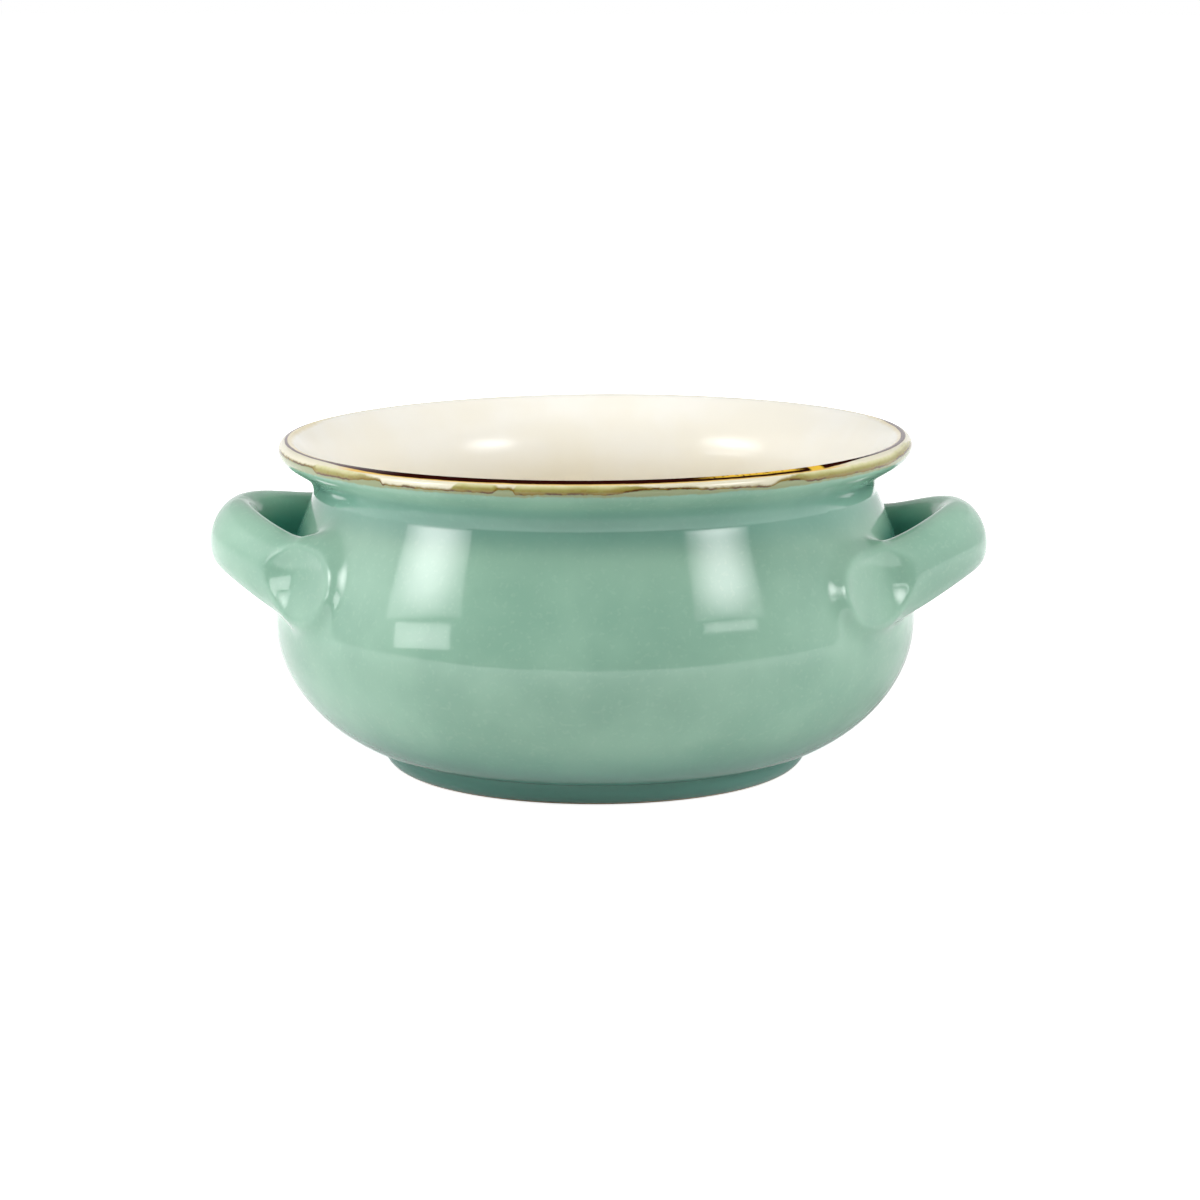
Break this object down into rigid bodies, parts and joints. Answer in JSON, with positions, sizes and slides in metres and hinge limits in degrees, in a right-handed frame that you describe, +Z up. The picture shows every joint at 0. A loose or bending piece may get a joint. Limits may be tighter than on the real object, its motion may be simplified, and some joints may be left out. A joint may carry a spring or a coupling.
{
  "type": "round baking dish",
  "caption": "Round glazed ceramic baking dish with a rolled lip over a waist, a full belly on a foot ring, and pressed loop handles at the sides.",
  "frame": {"origin": "centre of the foot ring on the table", "axes": "+Z up along the bowl's axis, +X through the middle of the right handle, -Y towards the viewer of the front"},
  "size_m": [0.258, 0.213, 0.111],
  "materials": {
    "clay": "matt fired clay",
    "aqua_glaze": "gloss glaze",
    "cream_glaze": "gloss glaze",
    "ochre_glaze": "brushed gloss glaze",
    "brown_glaze": "brushed gloss glaze"
  },
  "bodies": {
    "root": {"vessel": "clay", "foot_ring": "clay", "left_handle": "clay", "right_handle": "clay", "outside_glaze": "aqua_glaze", "inside_glaze": "cream_glaze", "left_handle_glaze": "aqua_glaze", "right_handle_glaze": "aqua_glaze", "rim_band": "ochre_glaze", "rim_line": "brown_glaze"}
  },
  "joints": []
}
